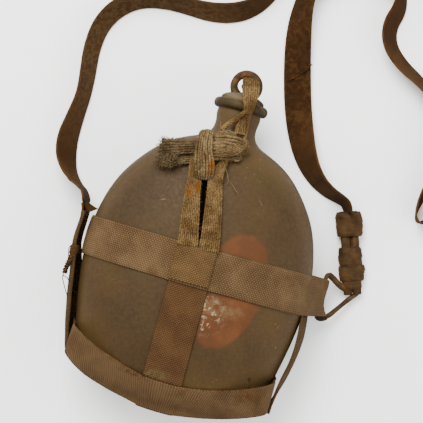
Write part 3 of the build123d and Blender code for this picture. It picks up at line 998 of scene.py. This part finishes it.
def make_clump(cloths):
    """Folded tape to the right of the bight, over the core that the bight holds."""
    folds = {
        "core": [(-24, 74.5, 69.5, 5.6, 0), (-14, 76, 73.6, 6.4, 0), (-4, 78.6, 72.6, 6.2, 0),
                 (4, 81, 69.6, 5.6, 0)],
        "fold_wide": [(-9, 82.6, 71.6, 5.4, 0), (-3, 83.6, 71.8, 6.6, 0), (4, 84.4, 70.4, 6.6, 0),
                      (9, 84.4, 68.4, 5.6, 0), (12.6, 83.6, 65.8, 3.8, 0)],
        "fold_slant": [(-8, 77.8, 73.6, 2.8, 8), (-1, 78.6, 74.0, 3.1, 6), (5, 81.6, 72.8, 3.3, 0),
                       (9.2, 86.2, 70.2, 3.0, -6), (10.6, 89.6, 67.0, 2.2, -10)],
        "fold_low": [(-7, 75.4, 71.6, 1.9, 14), (-1, 75.6, 71.6, 2.1, 16), (5, 76.4, 70.0, 2.0, 12),
                     (10.6, 78.2, 67.0, 1.8, 6)],
        "fold_top": [(-10.4, 84.8, 70.4, 2.2, -10), (-7.4, 89.2, 69.2, 2.5, -14),
                     (-2.6, 91.6, 67.6, 2.3, -10), (3, 91.4, 66.2, 1.8, -6)],
    }
    nodes = {"core": ["knot_bundle"], "fold_wide": ["tape_clump"]}
    for name, controls in folds.items():
        pieces = yarn_tape(name, stations_along(controls, 9), 6, cloths, 70, 1.1 * MM, 1.1 * MM, 1.0)
        finish_tape(pieces, *nodes.get(name, []))


def make_loose_ends(yarn_cloth):
    """A tangle of yarn at the clump's lower right, and single yarns that hang out of the knot."""
    lines = []
    for _ in range(26):
        angle = RNG.uniform(0, math.tau)
        points = []
        for i in range(14):
            x = 7.4 + 2.6 * math.cos(angle + i * 0.5) + RNG.uniform(-0.3, 0.3)
            y = 76.6 + 1.5 * math.sin(angle + i * 0.5) + RNG.uniform(-0.3, 0.3)
            points.append(at(x, y, RNG.uniform(67.4, 70)))
        lines.append(even(points, 0.32))
    for way in ([(-2.2, 73.9, 76), (3.5, 65.8, 76), (6, 61.2, 75.5), (9.9, 58.2, 74.6), (14.8, 53.8, 74.6)],
                [(-2.8, 74.6, 76.4), (2.5, 68, 77), (5.6, 62.4, 75.8), (6.2, 59.2, 75), (4.2, 57.0, 75.2)],
                [(-6.4, 92.6, 69), (-8.6, 95, 68), (-9.2, 98.4, 66.5)],
                [(-5, 92, 69), (-5.6, 96, 68.5), (-3.8, 99, 67)],
                [(12, 86, 68), (14.6, 87.2, 67), (15.2, 84, 66), (13.4, 81.2, 66.4)]):
        lines.append(even(curve(way, 6), 0.16))
    finish_piece(strands("loose_ends", lines, yarn_cloth, 5), "flask")


def wound(along, out, angle):
    """The direction out of a line, kept square to it, and the one turned from that by an angle."""
    out = (out - along * out.dot(along)).normalized()
    return out, out * math.cos(angle) + along.cross(out) * math.sin(angle)


def rolled_tape(name, controls, radius, count, cloth, twist):
    """A tape rolled into a cord: yarns that wind round its middle."""
    line = curve(controls, 9)
    lines = []
    for j in range(count):
        points, out = [], UP
        for i, point in enumerate(line):
            out, away = wound(way_along(line, i), out, math.tau * j / count + twist * i)
            points.append(point + away * (radius * (1 + 0.3 * noise.noise(point * 300 + Vector((j, 0, 0))))))
        lines.append((points, [radius * 0.62] * len(line)))
    return strands(name, lines, cloth, 6)


def make_stopper_tape(cloths):
    """From the clump up over the rim and through the eye; its end knot rides on the stopper."""
    start, end = at(5, 94, 62), at(5, 112, 60)
    ladder = [(-6.8, 92.6, 67.4), (-5.2, 96.4, 64.6), (-1.6, 100.8, 60.6), (2.4, 105.6, 59.6),
              (5.4, 110.4, 60), (7.0, 113.6, 60.4), (6.6, 117.4, 59.6)]
    thin = [(9.6, 88.4, 66.2), (9.5, 92.6, 63.2), (9.0, 100.2, 58.6), (8.8, 107.3, 59.0), (8.6, 112.4, 60.2),
            (7.4, 117, 59.6)]
    upper = [(7.3, 108.4, 59.8, 2.6, 0), (6.9, 113.0, 61.2, 3.7, 0), (6.3, 118.2, 60.8, 4.9, 0),
             (5.4, 123.2, 58.0, 5.8, 0), (4.2, 129.0, 52.6, 6.1, 0), (3.2, 133.0, 46.6, 5.6, 0),
             (2.8, 133.0, 39.0, 4.6, 0), (2.6, 130.0, 31.0, 3.2, 0)]
    ladder_piece = rolled_tape("riser_ladder", ladder, 1.15 * MM, 5, cloths[1], 0.33)
    thin_piece = rolled_tape("riser_thin", thin, 0.75 * MM, 4, cloths[1], 0.2)
    web = stations_along([(5.4, 93, 64.6, 3.6, 0), (5.0, 98, 60.4, 3.4, 0), (5.4, 104, 58.4, 2.2, 0),
                          (6.6, 110, 59.4, 1.4, 0)], 6)
    tape = stations_along(upper, 9, (-1, -0.12, 0))
    pieces = yarn_tape("upper_tape", tape, 8, cloths, 80)
    pieces += yarn_tape("riser_web", web, 5, cloths, 70)
    for piece in (*pieces, ladder_piece, thin_piece):
        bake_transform(piece)
    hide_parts("stopper_tape", "tape_riser")
    knot = []
    for i in range(73):
        t = math.tau * i / 72
        knot.append(at(2.4 + 1.25 * (math.sin(t) + 2 * math.sin(2 * t)),
                       128.2 + math.cos(t) - 2 * math.cos(2 * t), 30 - 1.5 * math.sin(3 * t)))
    end = strands("end_knot", [even(knot, 1.3)], cloths[1], 8)
    finish_piece(end, "stopper", ["tape_end_knot"])


# --- Ring and strap end ------------------------------------------------------
STRAP_END = Matrix.Translation(at(114.4, 9.9, 5.6)) @ Matrix.Rotation(math.radians(18), 4, "Z")


def at_end(x, y, z):
    """A point from millimetres across, along and up from the ring's short side."""
    return STRAP_END @ at(x, y, z)


def make_ring(hide, wrap):
    """A thong through the belt's end and the strap's fold, with a few turns of wrapping."""
    route = [(92.6, 3, 16.4), (92.6, 12, 16.4), (93.8, 15.6, 15.8), (98, 14.2, 13.4), (102.8, 11.2, 10.6),
             (107.8, 9.2, 7.8), (112.8, 9.0, 5.9), (117.2, 10.4, 5.6), (118.4, 7.8, 5.6), (115.2, 4.0, 5.9),
             (111.2, -0.9, 7.4), (106.4, -7.2, 9.8), (102.6, -12.0, 11.8), (98.6, -15.2, 13.8),
             (94.4, -15.6, 15.6), (92.6, -10, 16.4), (92.6, 3, 16.4)]
    line = curve(route, 8)
    radii = [(1.75 + 0.35 * noise.noise(p * 140)) * MM for p in line]
    ring = strands("ring_thong", [(line, radii)], hide, 12)
    finish_piece(ring, "strap_end", ["belt_ring"])
    turns = []
    for first, last in ((17, 47), (100, 116)):
        out = UP
        winding = []
        for i in range((last - first) * 6):
            j = first + i / 6
            a, b = line[int(j)], line[int(j) + 1]
            out, away = wound((b - a).normalized(), out, i * 0.55)
            winding.append(a.lerp(b, j % 1) + away * 1.95 * MM)
        turns.append(even(winding, 0.5))
    finish_piece(strands("ring_wrap", turns, wrap, 6), "strap_end")


def make_fold(hide, thread):
    """The strap's end: two rolled edges with a slit between, folded round the ring."""
    route = [(57, 3.1), (46, 3.2), (34, 3.3), (22, 3.2), (8, 3.3), (1, 3.4), (-2.4, 2.5), (-3.3, 0),
             (-2.4, -2.4), (1, -3.2), (20, -3.1), (40, -3.1), (57, -3.1)]
    for name, middle, half in (("fold_left", -3.3, 2.9), ("fold_right", 3.2, 2.8)):
        rows = []
        for point in spline([Vector((y, z, 0)) for y, z in route], 7):
            sway = 0.5 * noise.noise(Vector((point.x * 0.12, middle, point.y)))
            swell = 1.1 * (1 if point.y > 0 else 0.2)
            rows.append([at_end(middle + sway - half * s, point.x, point.y + swell * (1 - s * s) - 0.5)
                         for s in ACROSS])
        piece = ribbon(name, rows, 1.6 * MM, hide, ripple=0.5 * MM)
        finish_piece(piece, "strap_end", ["strap_fold"])
    stitch = ((1.2, -0.5, 4.1), (2.2, 0, 4.8), (3.8, 0.4, 4.75), (5.0, 0.8, 3.9))
    stitches = []
    for i in range(6):
        start = 31.6 + 1.35 * i
        stitches.append(even([at_end(x, start + y, z) for x, y, z in stitch], 0.2))
    finish_piece(strands("fold_stitches", stitches, thread, 5), "strap_end")


def sleeve(name, hide, start, end, half_x, half_z, lean, seed):
    """A loop of webbing round the fold: a soft, slightly crushed tube with turned edges."""
    vertices, uvs = [], []
    around, steps, wall = 72, 26, 1.3
    outline = []
    for i in range(steps):
        t = i / (steps - 1)
        turned = 1 - min(1.0, 6 * min(t, 1 - t))
        tuck = 1.1 * turned ** 2 - 0.5 * math.sin(math.pi * t)
        outline.append((start + (end - start) * t, 1 - 0.06 * tuck))
    rings = [(y, scale, 0) for y, scale in outline]
    rings += [(y, scale, wall) for y, scale in reversed(outline)]
    for y, scale, inset in rings:
        for k in range(around):
            angle = math.tau * k / around
            cosine, sine = math.cos(angle), math.sin(angle)
            x = math.copysign(abs(cosine) ** 0.8, cosine) * (half_x * scale - inset)
            z = math.copysign(abs(sine) ** 0.8, sine) * (half_z * scale - inset)
            crush = 1.1 * noise.noise(Vector((x * 0.13, y * 0.16, z * 0.13 + seed)))
            crease = 0.5 * noise.noise(Vector((x * 0.1, y * 0.6, seed + 5)))
            grow = 1 + (crush + crease) / half_x if not inset else 1
            ragged = 0.5 * noise.noise(Vector((angle * 2.2, seed, start)))
            point = at_end(x * grow + lean * (y - start), y + ragged, z * grow)
            vertices.append(above_floor(point, 0.1 * MM))
            uvs.append((y * MM, angle * half_x * MM))
    return mesh_object(name, vertices, wrap_faces(len(rings), around), hide, uvs)


def make_keepers(hide, fuzz):
    """Four loops of webbing; the top one slides along the fold."""
    for name, body, nodes, shape in (
            ("keeper_low", "strap_end", ["lower_keeper"], (0.2, 9.4, 6.9, 5.3, 0, 1)),
            ("keeper_low_turn", "strap_end", [], (6.2, 17.6, 8.9, 5.7, 0.03, 7)),
            ("keeper_middle", "strap_end", ["middle_keeper"], (16.8, 30.6, 8.3, 5.6, -0.04, 13)),
            ("keeper_top", "keeper", ["sliding_keeper"], (38.7, 56.4, 9.3, 6.8, 0, 21))):
        finish_piece(sleeve(name, hide, *shape), body, nodes)
    lines = []
    for y in (0.8, 9.2, 17.4):
        for _ in range(26):
            start = at_end(RNG.uniform(-8, 8), y, 5.2)
            way = STRAP_END.to_3x3() @ Vector((RNG.uniform(-1, 1), RNG.uniform(-1, 1), 0.5))
            lines.append(hair(start, way, RNG.uniform(0.6, 1.8) * MM, 0.5, 0.09 * MM, 4))
    finish_piece(strands("keeper_fuzz", lines, fuzz, 3), "strap_end")


# --- Sewn end on the left ----------------------------------------------------

def make_anchor(cloth):
    """The shoulder strap's turned end over the side strap, with a flap."""
    rows = []
    route = [(-88.4, 20), (-87.0, 15.5), (-86.4, 7), (-86.4, -1.4), (-85.8, -8)]
    for point in spline([Vector((x, y, 0)) for x, y in route], 8):
        rows.append([at(point.x + 0.8 * s, point.y, 37.2 + 9.9 * s) for s in ACROSS])
    anchor = ribbon("anchor_web", rows, 1.6 * MM, cloth, ripple=0.3 * MM)
    finish_piece(anchor, "flask", ["strap_anchor"])
    corner = [at(-76.4, 18.8, 39.5), at(-83.6, 13.6, 40), at(-88.4, 22, 38), at(-85, 21.2, 38)]
    flap = [[corner[0].lerp(corner[1], (s + 1) / 2).lerp(corner[3].lerp(corner[2], (s + 1) / 2), i / 8)
             for s in ACROSS] for i in range(9)]
    finish_piece(ribbon("anchor_flap", flap, 1.4 * MM, cloth, ripple=0.5 * MM), "flask")


def make_whipping(thread):
    """Thread wound round the side strap, and the cord and threads that hang from it."""
    turns = []
    for i in range(150):
        angle = i * 0.6
        y = -9.4 - 6.6 * i / 149
        swell = 2.4 + 0.5 * math.sin(math.pi * i / 149)
        turns.append(at(-84.2 + swell * math.cos(angle), y, 45.5 + 2.4 * swell * math.sin(angle)))
    winding = strands("whipping_turns", [even(turns, 0.6)], thread, 6)
    finish_piece(winding, "flask", ["anchor_whipping"])
    way = [(-85.0, -12, 50), (-84.8, -16, 50.4), (-85.4, -21, 49), (-86.4, -25, 47), (-87.0, -30, 45)]
    cord = rolled_tape("hanging_cord", way, 1.25 * MM, 3, thread, 0.5)
    finish_piece(cord, "flask", ["repair_cord"])
    lines = []
    for way in ([(-85.3, -8.2, 46), (-88.1, -11.9, 46), (-87.6, -16.9, 45), (-86.3, -20.3, 46)],
                [(-86.6, -28.5, 45), (-87.6, -33, 43), (-85.4, -38.3, 42), (-80.7, -44.7, 48)],
                [(-87.3, -32.4, 43), (-84.3, -32.9, 46), (-81.9, -33.9, 51)]):
        lines.append(even(curve(way, 7), 0.36))
    finish_piece(strands("loose_threads", lines, thread, 5), "flask")


# --- All together ------------------------------------------------------------

def dress_flask():
    refinish(khaki_paint(), "flask_shell")
    metal = tarnished_aluminium()
    make_cap(metal)
    make_eye(metal)
    refinish(metal, "stopper_eye", "stopper_washer", "stopper_burr")
    refinish(cork_material(), "stopper_cork")


def dress_harness(fuzz):
    grime = (84, 52, 26)
    belt_cloth = webbing("belt_cloth", (90, 64, 42), (172, 140, 102), 1.9, 1.35, stain=(112, 80, 52))
    strap_cloth = webbing("vertical_cloth", (84, 58, 38), (146, 108, 74), 1.7, 1.2, stain=(100, 74, 48),
                          dirt=[(at(-6.5, -77.5, 68), (0.011, 0.004, 0.02), (140, 124, 84))])
    band_cloth = webbing("band_cloth", (86, 62, 41), (156, 125, 90), 1.6, 1.1, False, (88, 58, 30),
                         (120, 84, 46), dirt=[(at(56.2, -77, 60), (0.006, 0.0035, 0.02), (112, 64, 30)),
                                              (at(-17.6, -80, 66), (0.015, 0.0035, 0.02), grime),
                                              (at(-52, -66, 60), (0.01, 0.003, 0.02), grime)])
    side_cloth = webbing("side_cloth", (66, 46, 28), (134, 104, 66), 1.5, 0.8, False)
    make_belt(belt_cloth)
    make_vertical_strap(strap_cloth)
    make_back_strap(strap_cloth)
    make_band(band_cloth, fuzz)
    upper = [(-84.2, 15), (-84.2, -6), (-81.6, -20), (-77.8, -43), (-74.6, -60), (-72.4, -71), (-71.4, -80)]
    lower = [(-83.2, 15), (-83.2, -6), (-79.6, -20), (-76.2, -43), (-73.2, -60), (-71.6, -71), (-71.2, -80)]
    make_side_strap("left_side_web", "left_side_strap", upper, lower, 4.0 * MM, side_cloth)
    upper = [(80.2, -16), (80.9, -34), (80.3, -49), (77.2, -64), (75.4, -78), (75.0, -87)]
    lower = [(85.6, -16), (87.0, -32), (85.4, -47), (82.6, -62), (79.2, -74), (75.8, -87)]
    make_side_strap("right_side_web", "right_side_strap", upper, lower, 0.4 * MM, side_cloth)


def tie_tapes():
    """All the tape work; returns the yarn that the strap's stitches share."""
    rust = [((-0.0075, 0.0665, 0.0795), (0.0035, 0.0075, 0.006)),
            ((-0.0175, 0.047, 0.076), (0.004, 0.006, 0.006)),
            ((-0.0125, 0.0505, 0.076), (0.0025, 0.006, 0.006))]
    yarn = yarn_material("tape_yarn", (114, 84, 50), (186, 152, 104), rust)
    # the ground is darker than the yarn: painted shade where it shows between the yarns
    ground = yarn_material("tape_ground", (62, 43, 27), (116, 88, 58), rust)
    knot_yarn = yarn_material("knot_yarn", (118, 92, 58), (196, 166, 122), rust)
    end_yarn = yarn_material("end_yarn", (92, 72, 46), (166, 142, 106))
    patch_cloth = webbing("patch_cloth", (88, 62, 38), (168, 134, 92), 1.7, 1.3)
    make_tapes((ground, yarn), patch_cloth)
    make_bight((ground, knot_yarn))
    make_tail((ground, end_yarn))
    make_clump((ground, knot_yarn))
    make_loose_ends(knot_yarn)
    make_stopper_tape((ground, yarn))
    return yarn


def main():
    set_camera()
    set_light()
    lay_floor()
    dress_flask()
    fuzz = yarn_material("dark_fuzz", (70, 44, 24), (130, 88, 50))
    dress_harness(fuzz)
    long_cloth = webbing("long_cloth", (62, 39, 22), (134, 95, 57), 1.2, 0.9, stain=(76, 50, 30),
                         wear=(150, 106, 62), width=2 * STRAP_HALF,
                         dirt=[(at(-80, 140, 10), (0.08, 0.08, 0.04), (136, 106, 72)),
                               (at(34, 150, 6), (0.03, 0.07, 0.03), (70, 44, 22))])
    make_shoulder_strap(long_cloth, fuzz)
    yarn = tie_tapes()
    hide = hide_material("strap_hide", (66, 44, 18), (104, 72, 32))
    pale_hide = hide_material("ring_hide", (74, 50, 28), (134, 98, 60))
    make_ring(pale_hide, pale_hide)
    make_fold(hide, yarn)
    make_keepers(hide, fuzz)
    make_anchor(long_cloth)
    make_whipping(yarn_material("thread", (70, 48, 26), (136, 102, 64)))


main()
